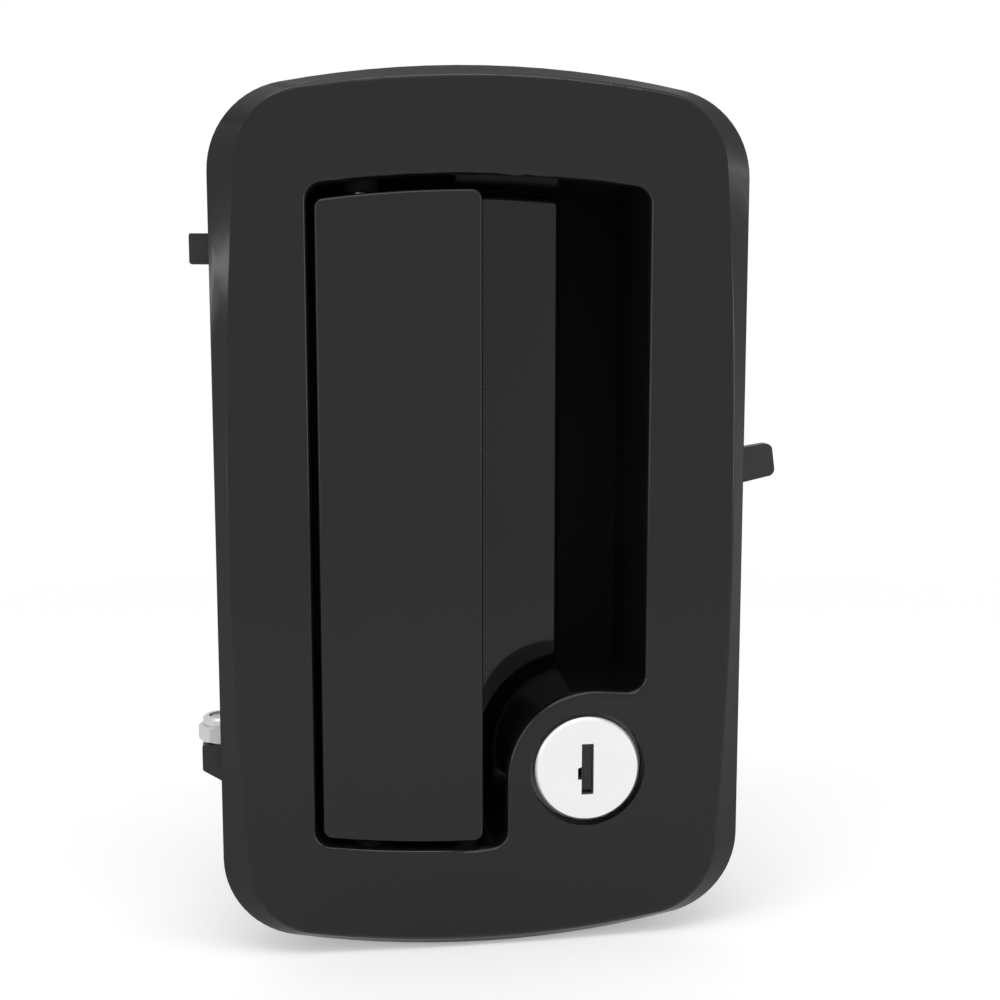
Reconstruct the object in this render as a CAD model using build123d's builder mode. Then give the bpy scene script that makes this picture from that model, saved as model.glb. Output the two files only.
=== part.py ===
from build123d import *

import os
from math import cos, radians, sin, sqrt, tan

# Flush paddle latch for a door: bezel with finger recess, pull pad on a vertical pin, key lock,
# release lever for a remote rod, and two clamp bars that grip the door from inside.
#
# Frame: X to the right as seen from outside, Y into the door, Z up, in millimetres. The origin is
# the middle of the flange on the outer skin of the door, so the face lies at negative Y.

# ---------------------------------------------------------------- driving dimensions

# Flange: straight sides, bowed ends, a bevel up to a face that is bowed on all four sides
FLANGE_HALF_W = 50.0
FLANGE_HALF_H = 83.0
FLANGE_END_R = 187.8
FLANGE_CORNER_R = 16.2
EDGE_LAND = 0.6
BEVEL_DEPTH = 2.27
FACE_Y = -(EDGE_LAND + BEVEL_DEPTH)
FACE_HALF_W = 47.34
FACE_HALF_H = 81.0
FACE_END_R = 218.0
FACE_SIDE_R = 881.5
FACE_CORNER_R = 14.3
FACE_EDGE_R = 1.3
LIP_WIDTH = 2.0
GASKET_THICKNESS = 1.0

# Recess: an L-shaped mouth, drafted walls and a flat floor
MOUTH_LEFT = -32.45
MOUTH_RIGHT = 30.55
MOUTH_MID_X = (MOUTH_LEFT + MOUTH_RIGHT) / 2
MOUTH_HALF_H = 63.45
MOUTH_END_R = 215.0
MOUTH_CORNER_R = 3.0
MOUTH_EDGE_R = 1.4
NOTCH_X = 3.7
NOTCH_Z = -33.05
NOTCH_SLOPE = 0.075
NOTCH_R = 17.0
DRAFT = tan(radians(1.9))
WALL = 2.4
WALL_START_Y = -1.5
FLOOR_Y = 21.4
FLOOR_T = 2.5
REAR_Y = FLOOR_Y + FLOOR_T
FLOOR_EDGE_R = 0.8

# Door: the clamp bars grip a skin of this thickness round this cut-out
DOOR_T = 19.4
CUTOUT_HALF_W = 43.5
CUTOUT_HALF_H = 75.0
CUTOUT_CORNER_R = 9.0
RIM_T = 1.6
RIM_Y = 4.0
RIB_T = 1.6

# Pull pad and its pin
PAD_LEFT = -31.3
PAD_RIGHT = -0.75
PAD_TOP = 61.0
PAD_BOTTOM = -61.95
PAD_END_R = 213.0
PAD_FRONT_Y = FACE_Y - 0.08
PAD_T = 2.2
PAD_REAR_Y = PAD_FRONT_Y + PAD_T
PAD_CORNER_R = 1.9
PAD_EDGE_R = 0.8
GRIP_T = 2.4
GRIP_DEPTH = 8.6
PIN_X = -22.5
PIN_Y = 1.5
PIN_R = 1.5
PIN_CLEARANCE = 0.06
PIN_HALF_LENGTH = 65.4
KNUCKLE_R = 3.4
FINGER_Z = 42.0
FINGER_R = 2.2
FINGER_LENGTH = 31.0

# Release lever, its bush and hardware
PIVOT_X = 12.6
PIVOT_Z = -2.0
LEVER_Y = 27.0
LEVER_T = 2.5
LEVER_BOSS_R = 9.0
BUSH_SEAT_R = 6.5
BUSH_R = 4.0
LEVER_CLEARANCE = 0.05
SCREW_R = 2.5
ROD_HOLE_R = 2.1
ROD_HOLES_X = (44.0, 52.0)

# Clamp bars and their screws
PILLAR_X = 38.0
CLAMP_Z = 51.6
PILLAR_R = 4.6
PILLAR_END_Y = 24.4
PILOT_R = 1.7
CLAMP_T = 2.5
CLAMP_HALF_W = 5.0
CLAMP_END_X = 54.6
CLAMP_STEP_X = 44.7
CLAMP_SCREW_R = 2.0

# Lock
LOCK_X = 19.45
LOCK_Z = -48.64
LOCK_FACE_R = 10.285
LOCK_BORE_R = 11.2
LOCK_HEAD_REAR_Y = 0.4
BARREL_FLANGE_REAR_Y = 2.95
BARREL_R = 9.4
BARREL_END_Y = 27.0
TUBE_R = 13.2
TUBE_END_Y = 18.0
PLUG_R = 6.5
CAM_Y = 27.15
CAM_T = 2.0
CAM_LENGTH = 25.6
CAM_TIP_R = 4.0
CAM_ANGLE = 215.5
KEYWAY_W = 2.35
KEYWAY_H = 10.0
SHUTTER_T = 0.6

os.makedirs("parts", exist_ok=True)


def at_depth(y):
    """Plane across the door at depth y, seen from outside: its own x and y are X and Z."""
    return Plane.XZ.offset(-y)


def into_door(x, y, z):
    """Plane at a point, with its normal towards the outside, for holes bored into the door."""
    return Plane(origin=(x, y, z), x_dir=(1, 0, 0), z_dir=(0, -1, 0))


def sagitta(radius, distance):
    """How far an arc falls away from its top at a distance from the middle."""
    return radius - sqrt(radius * radius - distance * distance)


def write(part, label):
    part.label = label
    export_step(part, f"parts/{label}.step")


# ---------------------------------------------------------------- outlines


def flange_outline(y, inset=0.0):
    """Flange: straight sides and bowed ends."""
    x = FLANGE_HALF_W - inset
    z = FLANGE_HALF_H - inset
    corner_z = z - sagitta(FLANGE_END_R - inset, x)
    with BuildSketch(at_depth(y)) as outline:
        with BuildLine():
            ThreePointArc((-x, corner_z), (0, z), (x, corner_z))
            Line((x, corner_z), (x, -corner_z))
            ThreePointArc((x, -corner_z), (0, -z), (-x, -corner_z))
            Line((-x, -corner_z), (-x, corner_z))
        make_face()
        fillet(outline.vertices(), radius=FLANGE_CORNER_R - inset)
    return outline.sketch


def face_outline():
    """Raised face: bowed on all four sides."""
    x = FACE_HALF_W
    z = FACE_HALF_H
    for _ in range(12):
        z = FACE_HALF_H - sagitta(FACE_END_R, x)
        x = FACE_HALF_W - sagitta(FACE_SIDE_R, z)
    with BuildSketch(at_depth(FACE_Y)) as outline:
        with BuildLine():
            ThreePointArc((-x, z), (0, FACE_HALF_H), (x, z))
            ThreePointArc((x, z), (FACE_HALF_W, 0), (x, -z))
            ThreePointArc((x, -z), (0, -FACE_HALF_H), (-x, -z))
            ThreePointArc((-x, -z), (-FACE_HALF_W, 0), (-x, z))
        make_face()
        fillet(outline.vertices(), radius=FACE_CORNER_R)
    return outline.sketch


def end_z(x):
    """Height of the bowed upper end of the mouth over x."""
    return MOUTH_HALF_H - sagitta(MOUTH_END_R, x - MOUTH_MID_X)


def mouth_outline(y, inset):
    """L-shaped mouth of the recess, which leaves the lower right corner to the lock."""
    notch_right = NOTCH_Z - NOTCH_SLOPE * (MOUTH_RIGHT - LOCK_X)
    notch_left = NOTCH_Z + NOTCH_SLOPE * (LOCK_X - NOTCH_X)
    top_left = (MOUTH_LEFT, end_z(MOUTH_LEFT))
    top_right = (MOUTH_RIGHT, end_z(MOUTH_RIGHT))
    under_right = (MOUTH_RIGHT, notch_right)
    inner_corner = (NOTCH_X, notch_left)
    low_right = (NOTCH_X, -end_z(NOTCH_X))
    low_left = (MOUTH_LEFT, -end_z(MOUTH_LEFT))
    low_mid_x = (MOUTH_LEFT + NOTCH_X) / 2
    with BuildSketch(at_depth(y)) as outline:
        with BuildLine():
            ThreePointArc(top_left, (MOUTH_MID_X, MOUTH_HALF_H), top_right)
            Polyline(top_right, under_right, inner_corner, low_right)
            ThreePointArc(low_right, (low_mid_x, -end_z(low_mid_x)), low_left)
            Line(low_left, top_left)
        make_face()
        corners = outline.vertices().sort_by_distance(Vector(*inner_corner, 0))
        fillet(corners[0], radius=NOTCH_R)
        for corner in (top_left, top_right, under_right, low_right, low_left):
            fillet(outline.vertices().sort_by_distance(Vector(*corner, 0))[0], radius=MOUTH_CORNER_R)
        if inset:
            offset(amount=-inset, mode=Mode.REPLACE)
    return outline.sketch


def draft_at(y):
    """How far the drafted walls have come in at depth y."""
    return (y - FACE_Y) * DRAFT


def cutout_outline(inset, mode=Mode.ADD):
    """Rounded rectangle of the door cut-out less a margin, in the sketch it is called from."""
    width = 2 * (CUTOUT_HALF_W - inset)
    height = 2 * (CUTOUT_HALF_H - inset)
    RectangleRounded(width, height, CUTOUT_CORNER_R - inset, mode=mode)


# ---------------------------------------------------------------- pan: bezel, recess and pillars

WEB_LENGTH = 4.9
PIN_BOSS_R = 3.2
PIN_BOSS_Z = {1: 60.2, -1: 61.2}
PILLARS = [(side * PILLAR_X, end * CLAMP_Z) for side in (-1, 1) for end in (-1, 1)]
SIDE_RIBS_Z = (-36.0, -18.0, 0.0, 18.0, 36.0)
END_RIBS_X = (-24.0, -8.0, 8.0, 24.0)
POST_X = -8.5
POST_Z = 54.0
POST_R = 3.0
POST_Y = 0.6
BUMPER_R = 2.2
BUMPER_STEM_R = 1.1
STOP_X = 19.0
STOP_Z = -19.0
SLOT_LEFT = -25.4
SLOT_RIGHT = -9.2
PEGS = ((2.0, 48.0), (8.0, -22.0), (14.0, 48.0))
PEG_R = 1.5
SPRING_POST_R = 1.5
SPRING_POST_X = 21.5
SPRING_POST_Z = PIVOT_Z - 7.3 - 0.55 - SPRING_POST_R

with BuildPart() as pan:
    with BuildSketch(at_depth(0)):
        add(flange_outline(0))
    extrude(amount=EDGE_LAND)
    loft(sections=[flange_outline(-EDGE_LAND), face_outline()], ruled=True)
    # the flange is dished behind, which leaves a lip round the gasket
    with BuildSketch(at_depth(0)):
        add(flange_outline(0, LIP_WIDTH))
    extrude(amount=GASKET_THICKNESS, mode=Mode.SUBTRACT)
    fillet(pan.faces().sort_by(Axis.Y)[0].edges(), radius=FACE_EDGE_R)
    # outer shell of the recess
    loft(
        sections=[
            mouth_outline(WALL_START_Y, draft_at(WALL_START_Y) - WALL),
            mouth_outline(REAR_Y, draft_at(REAR_Y) - WALL),
        ],
        ruled=True,
    )
    # the recess itself
    loft(
        sections=[mouth_outline(FACE_Y, 0), mouth_outline(FLOOR_Y, draft_at(FLOOR_Y))],
        ruled=True,
        mode=Mode.SUBTRACT,
    )
    face = pan.faces().filter_by_position(Axis.Y, FACE_Y - 0.01, FACE_Y + 0.01).sort_by(SortBy.AREA)[-1]
    fillet(face.inner_wires()[0].edges(), radius=MOUTH_EDGE_R)
    floor = pan.faces().filter_by_position(Axis.Y, FLOOR_Y - 0.01, FLOOR_Y + 0.01)[0]
    fillet(floor.edges(), radius=FLOOR_EDGE_R)
    # tube behind the face that holds the lock
    with BuildSketch(at_depth(WALL_START_Y)):
        with Locations((LOCK_X, LOCK_Z)):
            Circle(TUBE_R)
    extrude(amount=-(TUBE_END_Y - WALL_START_Y))
    # screw pillars, each tied to the shell by a web
    with BuildSketch(at_depth(WALL_START_Y)):
        with Locations(*PILLARS):
            Circle(PILLAR_R)
    extrude(amount=-(PILLAR_END_Y - WALL_START_Y))
    with BuildSketch(at_depth(WALL_START_Y)):
        for end in (-1, 1):
            with Locations((-PILLAR_X, end * CLAMP_Z)):
                Rectangle(WEB_LENGTH, 2 * RIB_T, align=(Align.MIN, Align.CENTER))
            with Locations((PILLAR_X, end * CLAMP_Z)):
                Rectangle(WEB_LENGTH, 2 * RIB_T, align=(Align.MAX, Align.CENTER))
    extrude(amount=-(TUBE_END_Y - WALL_START_Y))
    # bosses round the ends of the pad's pin, in the gaps above and below the pad
    for end in (-1, 1):
        with BuildSketch(Plane.XY.offset(end * PIN_BOSS_Z[end])):
            with Locations((PIN_X, PIN_Y)):
                Circle(PIN_BOSS_R)
        extrude(amount=end * (PIN_HALF_LENGTH + 0.6 - PIN_BOSS_Z[end]))
    # rim that finds the door cut-out, and ribs from it to the shell
    with BuildSketch(at_depth(WALL_START_Y)):
        cutout_outline(0.4)
        cutout_outline(0.4 + RIM_T, Mode.SUBTRACT)
    extrude(amount=-(RIM_Y - WALL_START_Y))
    with BuildSketch(at_depth(WALL_START_Y)):
        for z in SIDE_RIBS_Z:
            with Locations((MOUTH_LEFT - 5.7, z), (MOUTH_RIGHT + 7.5, z)):
                Rectangle(9.4, RIB_T)
        for x in END_RIBS_X:
            with Locations((x, MOUTH_HALF_H + 5.7), (x, -MOUTH_HALF_H - 5.7)):
                Rectangle(RIB_T, 10.4)
    extrude(amount=-(RIM_Y - WALL_START_Y))
    # posts under the free corners of the pad, for the rubber buttons
    with BuildSketch(at_depth(POST_Y)):
        with Locations((POST_X, POST_Z), (POST_X, -POST_Z)):
            Circle(POST_R)
    extrude(amount=POST_Y - FLOOR_Y - 0.5, taper=-1.0)
    # rear face: stop for the lever and post for the leg of its spring
    with BuildSketch(at_depth(REAR_Y)):
        with Locations((STOP_X, STOP_Z)):
            RectangleRounded(4.2, 7.0, 1.0)
    extrude(amount=-(LEVER_Y + 1.6 - REAR_Y))
    with BuildSketch(at_depth(REAR_Y)):
        with Locations((SPRING_POST_X, SPRING_POST_Z)):
            Circle(SPRING_POST_R)
    extrude(amount=-(LEVER_Y - 0.4 - REAR_Y))
    # bores
    with Locations(into_door(LOCK_X, FACE_Y, LOCK_Z)):
        CounterBoreHole(BARREL_R + 0.1, LOCK_BORE_R, BARREL_FLANGE_REAR_Y - FACE_Y, 30.0)
    with Locations(into_door(PIVOT_X, FLOOR_Y, PIVOT_Z)):
        CounterSinkHole(SCREW_R + 0.1, 4.7, depth=4.0)
    with BuildSketch(at_depth(FLOOR_Y)):
        with Locations(((SLOT_LEFT + SLOT_RIGHT) / 2, FINGER_Z)):
            SlotOverall(SLOT_RIGHT - SLOT_LEFT, 6.4)
        with Locations(*PEGS):
            Circle(PEG_R + 0.05)
    extrude(amount=-5.0, mode=Mode.SUBTRACT)
    with BuildSketch(at_depth(PILLAR_END_Y)):
        with Locations(*PILLARS):
            Circle(PILOT_R)
    extrude(amount=14.0, mode=Mode.SUBTRACT)
    with BuildSketch(at_depth(POST_Y)):
        with Locations((POST_X, POST_Z), (POST_X, -POST_Z)):
            Circle(BUMPER_STEM_R)
    extrude(amount=-1.6, mode=Mode.SUBTRACT)
    # holes for the pad's pin through the two end walls
    with BuildSketch(Plane.XY.offset(-PIN_HALF_LENGTH - 5)):
        with Locations((PIN_X, PIN_Y)):
            Circle(PIN_R + 0.01)
    extrude(amount=2 * PIN_HALF_LENGTH + 10, mode=Mode.SUBTRACT)
write(pan.part, "pan")

# ---------------------------------------------------------------- gasket

with BuildPart() as gasket:
    with BuildSketch(at_depth(0)):
        add(flange_outline(0, LIP_WIDTH + 0.1))
        cutout_outline(0, Mode.SUBTRACT)
    extrude(amount=GASKET_THICKNESS)
write(gasket.part, "gasket")

# ---------------------------------------------------------------- paddle

KNUCKLES_Z = ((50.0, 59.0), (12.0, 19.0), (-19.0, -12.0), (-59.5, -50.5))
FINGER_HUB_Z = (38.5, 45.5)
PAD_RIBS_Z = (-45.0, -30.0, -15.0, 0.0, 15.0, 30.0, 47.0)
SPRING_POCKET_HALF = 6.6


def pad_end_z(x, apex):
    return apex - sagitta(PAD_END_R, x - MOUTH_MID_X)


with BuildPart() as paddle:
    pad_mid_x = (PAD_LEFT + PAD_RIGHT) / 2
    low_apex = -PAD_BOTTOM
    top_left = (PAD_LEFT, pad_end_z(PAD_LEFT, PAD_TOP))
    top_right = (PAD_RIGHT, pad_end_z(PAD_RIGHT, PAD_TOP))
    low_right = (PAD_RIGHT, -pad_end_z(PAD_RIGHT, low_apex))
    low_left = (PAD_LEFT, -pad_end_z(PAD_LEFT, low_apex))
    with BuildSketch(at_depth(PAD_REAR_Y)) as pad:
        with BuildLine():
            ThreePointArc(top_left, (pad_mid_x, pad_end_z(pad_mid_x, PAD_TOP)), top_right)
            Line(top_right, low_right)
            ThreePointArc(low_right, (pad_mid_x, -pad_end_z(pad_mid_x, low_apex)), low_left)
            Line(low_left, top_left)
        make_face()
        fillet(pad.vertices(), radius=PAD_CORNER_R)
    extrude(amount=PAD_T)
    fillet(paddle.faces().sort_by(Axis.Y)[0].edges(), radius=PAD_EDGE_R)
    # grip behind the free edge
    with BuildSketch(at_depth(PAD_REAR_Y)):
        with Locations((PAD_RIGHT - GRIP_T / 2, (PAD_TOP + PAD_BOTTOM) / 2)):
            Rectangle(GRIP_T, PAD_TOP - PAD_BOTTOM - 4 * PAD_CORNER_R)
    extrude(amount=-(GRIP_DEPTH - PAD_T))
    fillet(paddle.faces().sort_by(Axis.Y)[-1].edges(), radius=GRIP_T / 3)
    # ribs across the back of the pad
    with BuildSketch(at_depth(PAD_REAR_Y)):
        for z in PAD_RIBS_Z:
            with Locations(((PIN_X + PAD_RIGHT) / 2, z)):
                Rectangle(PAD_RIGHT - PIN_X - 1.0, 1.4)
    extrude(amount=-3.0)
    # knuckles
    for low, high in KNUCKLES_Z + (FINGER_HUB_Z,):
        with BuildSketch(Plane.XY.offset(low)):
            with Locations((PIN_X, PIN_Y)):
                Circle(KNUCKLE_R)
            with Locations((PIN_X, (PAD_REAR_Y + PIN_Y) / 2)):
                Rectangle(2 * KNUCKLE_R, PIN_Y - PAD_REAR_Y)
        extrude(amount=high - low)
    # finger that reaches through the floor and pushes the lever
    with BuildSketch(at_depth(PIN_Y)) as root:
        with Locations((PIN_X, FINGER_Z)):
            Circle(3.2)
    with BuildSketch(at_depth(PIN_Y + 14.0)) as neck:
        with Locations((PIN_X, FINGER_Z)):
            Circle(FINGER_R)
    loft(sections=[root.sketch, neck.sketch])
    with BuildSketch(at_depth(PIN_Y + 14.0)):
        with Locations((PIN_X, FINGER_Z)):
            Circle(FINGER_R)
    extrude(amount=-(FINGER_LENGTH - 14.0))
    chamfer(paddle.edges().sort_by(Axis.Y)[-1], length=0.6)
    # pocket in the back of the pad that clears the coils of the spring
    with BuildSketch(Plane.XY.offset(-SPRING_POCKET_HALF)):
        with Locations((PIN_X, PIN_Y)):
            Circle(KNUCKLE_R)
    extrude(amount=2 * SPRING_POCKET_HALF, mode=Mode.SUBTRACT)
    with BuildSketch(Plane.XY.offset(PAD_BOTTOM)):
        with Locations((PIN_X, PIN_Y)):
            Circle(PIN_R + PIN_CLEARANCE)
    extrude(amount=PAD_TOP - PAD_BOTTOM, mode=Mode.SUBTRACT)
write(paddle.part, "paddle")

# ---------------------------------------------------------------- pin, buttons and pocket plate

with BuildPart() as hinge_pin:
    with BuildSketch(Plane.XY.offset(-PIN_HALF_LENGTH)):
        with Locations((PIN_X, PIN_Y)):
            Circle(PIN_R)
    extrude(amount=2 * PIN_HALF_LENGTH)
    chamfer(hinge_pin.edges(), length=0.3)
write(hinge_pin.part, "hinge_pin")

with BuildPart() as bumpers:
    with BuildSketch(at_depth(POST_Y)):
        with Locations((POST_X, POST_Z), (POST_X, -POST_Z)):
            Circle(BUMPER_R)
    extrude(amount=POST_Y - PAD_REAR_Y - 0.05)
    chamfer(bumpers.faces().filter_by(Axis.Y).group_by(Axis.Y)[0].edges(), length=0.3)
    with BuildSketch(at_depth(POST_Y)):
        with Locations((POST_X, POST_Z), (POST_X, -POST_Z)):
            Circle(BUMPER_STEM_R)
    extrude(amount=-1.6)
write(bumpers.part, "bumpers")

PLATE_T = 1.6
PLATE_LEFT = -4.0
PLATE_RIGHT = 17.8
PLATE_MARGIN = 0.9
PLATE_EDGE_R = 1.1

with BuildPart() as pocket_plate:
    plate_inset = draft_at(FLOOR_Y - PLATE_T) + PLATE_MARGIN
    with BuildSketch(at_depth(FLOOR_Y)) as plate:
        add(mouth_outline(FLOOR_Y, plate_inset))
        with Locations(((PLATE_LEFT + PLATE_RIGHT) / 2, 0)):
            Rectangle(PLATE_RIGHT - PLATE_LEFT, 2 * MOUTH_HALF_H, mode=Mode.INTERSECT)
    extrude(amount=PLATE_T)
    corner_edges = pocket_plate.edges().filter_by(Axis.Y)
    fillet(corner_edges.group_by(Axis.X)[-1], radius=1.4)
    front_edges = pocket_plate.faces().sort_by(Axis.Y)[0].edges()
    fillet(front_edges, radius=PLATE_EDGE_R)
    with BuildSketch(at_depth(FLOOR_Y)):
        with Locations(*PEGS):
            Circle(PEG_R)
    extrude(amount=-2.2)
write(pocket_plate.part, "pocket_plate")

# ---------------------------------------------------------------- springs


def torsion_spring(axis_plane, coil_r, wire_r, pitch, height, first_leg, last_leg):
    """Round-wire torsion spring: a helix on the plane, with a straight leg off each end."""
    with BuildPart() as spring:
        with BuildLine() as wire:
            coil = Helix(pitch, height, coil_r)
            Line(coil @ 0 - (coil % 0) * first_leg, coil @ 0)
            Line(coil @ 1, coil @ 1 + (coil % 1) * last_leg)
        start = wire.edges().sort_by(SortBy.LENGTH)
        with BuildSketch(Plane(origin=coil @ 0 - (coil % 0) * first_leg, z_dir=coil % 0)):
            Circle(wire_r)
        sweep(path=wire.wires()[0])
    return spring.part.moved(axis_plane.location)


PADDLE_SPRING_R = 2.55
PADDLE_WIRE_R = 0.5
LEVER_SPRING_R = 7.3
LEVER_WIRE_R = 0.5

paddle_spring = torsion_spring(
    Plane(origin=(PIN_X, PIN_Y, -3.5), x_dir=(0, 1, 0), z_dir=(0, 0, 1)),
    PADDLE_SPRING_R, PADDLE_WIRE_R, 1.25, 7.5, 6.5, 7.4,
)
write(paddle_spring, "paddle_spring")

lever_spring = torsion_spring(
    Plane(origin=(PIVOT_X, REAR_Y + 0.8, PIVOT_Z), x_dir=(0, 0, -1), z_dir=(0, 1, 0)),
    LEVER_SPRING_R, LEVER_WIRE_R, 1.1, 1.375, 10.0, 10.0,
)
write(lever_spring, "lever_spring")

# ---------------------------------------------------------------- release lever and its pivot

STUB_R = 1.2
ARM_TOP = ((12.6, 3.31), (65.0, 11.3))
ARM_LOW = ((12.6, -7.35), (65.9, 4.45))


def arm_mid_z(x):
    """Height of the rod arm's centre line over x."""
    middle = 0.0
    for start, end in (ARM_TOP, ARM_LOW):
        middle += (start[1] + (end[1] - start[1]) * (x - start[0]) / (end[0] - start[0])) / 2
    return middle


with BuildPart() as release_lever:
    with BuildSketch(at_depth(LEVER_Y)) as blank:
        with Locations((PIVOT_X, PIVOT_Z)):
            Circle(LEVER_BOSS_R)
        # arm for the remote rod
        with BuildLine():
            Polyline(ARM_TOP[0], ARM_TOP[1], ARM_LOW[1], ARM_LOW[0], close=True)
        make_face()
        # arm that the finger of the paddle pushes
        with BuildLine():
            Polyline(
                (PIVOT_X - 5.0, PIVOT_Z - 3.5),
                (-20.0, 29.0),
                (-20.0, 46.0),
                (-12.5, 46.0),
                (PIVOT_X + 5.0, PIVOT_Z + 3.5),
                close=True,
            )
        make_face()
        # arm that the lock cam blocks
        with Locations((PIVOT_X, PIVOT_Z - 12.5)):
            Rectangle(8.0, 25.0)
        sharp = [v for v in blank.vertices() if v.X > 60 or v.X < -10 or v.Y < -20]
        fillet(sharp, radius=1.5)
        for x in ROD_HOLES_X:
            with Locations((x, arm_mid_z(x))):
                Circle(ROD_HOLE_R, mode=Mode.SUBTRACT)
        with Locations((PIVOT_X, PIVOT_Z)):
            Circle(BUSH_R + LEVER_CLEARANCE, mode=Mode.SUBTRACT)
    extrude(amount=-LEVER_T)
    # stub that the leg of the return spring bears on
    with BuildSketch(at_depth(LEVER_Y)):
        with Locations((PIVOT_X - LEVER_SPRING_R - LEVER_WIRE_R - STUB_R - 0.05, PIVOT_Z + 9.5)):
            Circle(STUB_R)
    extrude(amount=LEVER_Y - REAR_Y - 0.5)
write(release_lever.part, "release_lever")

WASHER_Y = LEVER_Y + LEVER_T + 0.1
WASHER_T = 1.2
NUT_Y = WASHER_Y + WASHER_T
NUT_HEX_H = 3.5
NUT_H = 5.1
NUT_FLATS = 8.0
NUT_COLLAR_R = 3.75

with BuildPart() as pivot_screw:
    with BuildSketch(Plane.XY) as half:
        with BuildLine():
            Polyline(
                (0, FLOOR_Y),
                (4.6, FLOOR_Y),
                (4.6, FLOOR_Y + 0.1),
                (SCREW_R, FLOOR_Y + 2.2),
                (SCREW_R, NUT_Y + NUT_H + 0.6),
                (SCREW_R - 0.4, NUT_Y + NUT_H + 1.0),
                (0, NUT_Y + NUT_H + 1.0),
                close=True,
            )
        make_face()
    revolve(axis=Axis.Y)
    with BuildSketch(at_depth(FLOOR_Y)):
        RegularPolygon(1.7, 6)
    extrude(amount=-1.6, mode=Mode.SUBTRACT)
write(pivot_screw.part.moved(Location((PIVOT_X, 0, PIVOT_Z))), "pivot_screw")

with BuildPart() as pivot_bush:
    with BuildSketch(at_depth(REAR_Y)):
        with Locations((PIVOT_X, PIVOT_Z)):
            Circle(BUSH_SEAT_R)
    extrude(amount=-(LEVER_Y - 0.05 - REAR_Y))
    with BuildSketch(at_depth(LEVER_Y - 0.05)):
        with Locations((PIVOT_X, PIVOT_Z)):
            Circle(BUSH_R)
    extrude(amount=-(WASHER_Y - LEVER_Y + 0.05))
    with BuildSketch(at_depth(REAR_Y)):
        with Locations((PIVOT_X, PIVOT_Z)):
            Circle(SCREW_R + 0.05)
    extrude(amount=-(WASHER_Y - REAR_Y), mode=Mode.SUBTRACT)
write(pivot_bush.part, "pivot_bush")

with BuildPart() as pivot_washer:
    with BuildSketch(at_depth(WASHER_Y)):
        with Locations((PIVOT_X, PIVOT_Z)):
            Circle(7.5)
            Circle(SCREW_R + 0.1, mode=Mode.SUBTRACT)
    extrude(amount=-WASHER_T)
write(pivot_washer.part, "pivot_washer")


def lock_nut():
    """Hexagon nut with a round collar that holds its nylon ring, standing on the XY plane."""
    with BuildPart() as nut:
        with BuildSketch():
            RegularPolygon(NUT_FLATS / 2, 6, major_radius=False)
        extrude(amount=NUT_HEX_H)
        with BuildSketch(Plane.XY.offset(NUT_HEX_H)):
            Circle(NUT_COLLAR_R)
        extrude(amount=NUT_H - NUT_HEX_H)
        chamfer(nut.edges().filter_by(GeomType.CIRCLE).sort_by(Axis.Z)[-1], length=0.4)
        # the corners of the hexagon are turned off at both ends
        with BuildSketch(Plane.XZ) as turned:
            with BuildLine():
                Polyline(
                    (0, 0), (3.9, 0), (4.7, 0.55), (4.7, NUT_HEX_H - 0.4),
                    (4.1, NUT_HEX_H), (4.1, NUT_H), (0, NUT_H), close=True,
                )
            make_face()
        revolve(axis=Axis.Z, mode=Mode.INTERSECT)
        with BuildSketch():
            Circle(SCREW_R + 0.03)
        extrude(amount=NUT_H, mode=Mode.SUBTRACT)
    return nut.part


pivot_nut = lock_nut().moved(
    Plane(origin=(PIVOT_X, NUT_Y, PIVOT_Z), x_dir=(1, 0, 0), z_dir=(0, 1, 0)).location
)
write(pivot_nut, "pivot_nut")

# ---------------------------------------------------------------- clamp bars

CLAMP_Y = PILLAR_END_Y
LUG_TOP = -47.3
LUG_X = -50.8
LUG_Y = 23.5
CLAMP_SCREW_HEAD_R = 3.9
CLAMP_WASHER_R = 4.5
CLAMP_WASHER_T = 0.8
BLANK_MARGIN = 8.0


def bar_profile():
    """Hat-shaped section of a clamp bar: feet forward on the door, bar across the pillars."""
    foot_back = DOOR_T + CLAMP_T
    bar_back = CLAMP_Y + CLAMP_T
    leg = CLAMP_STEP_X + CLAMP_T
    with BuildSketch() as hat:
        with BuildLine():
            Polyline(
                (-CLAMP_END_X, DOOR_T), (-CLAMP_STEP_X, DOOR_T), (-CLAMP_STEP_X, CLAMP_Y),
                (CLAMP_STEP_X, CLAMP_Y), (CLAMP_STEP_X, DOOR_T), (CLAMP_END_X, DOOR_T),
                (CLAMP_END_X, foot_back), (leg, foot_back), (leg, bar_back),
                (-leg, bar_back), (-leg, foot_back), (-CLAMP_END_X, foot_back), close=True,
            )
        make_face()
        bends = [v for v in hat.vertices() if abs(v.X) < CLAMP_END_X - 1]
        inner = [v for v in bends if (abs(v.X) > CLAMP_STEP_X + 1) == (v.Y < CLAMP_Y)]
        fillet(inner, radius=0.8)
    return hat.sketch


with BuildPart() as upper_clamp:
    with BuildSketch(Plane.XY.offset(CLAMP_Z - BLANK_MARGIN)):
        add(bar_profile())
    extrude(amount=2 * BLANK_MARGIN)
    with BuildSketch(at_depth(0)) as blank:
        with Locations((0, CLAMP_Z)):
            Rectangle(2 * CLAMP_STEP_X + 2.0, 2 * CLAMP_HALF_W)
        with Locations((0, (47.85 + 53.7) / 2)):
            Rectangle(2 * CLAMP_END_X, 53.7 - 47.85)
        fillet([v for v in blank.vertices() if abs(v.X) > CLAMP_END_X - 1], radius=0.5)
        with Locations((-PILLAR_X, CLAMP_Z), (PILLAR_X, CLAMP_Z)):
            Circle(CLAMP_SCREW_R + 0.2, mode=Mode.SUBTRACT)
    extrude(amount=-40.0, mode=Mode.INTERSECT)
write(upper_clamp.part, "upper_clamp")

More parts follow.
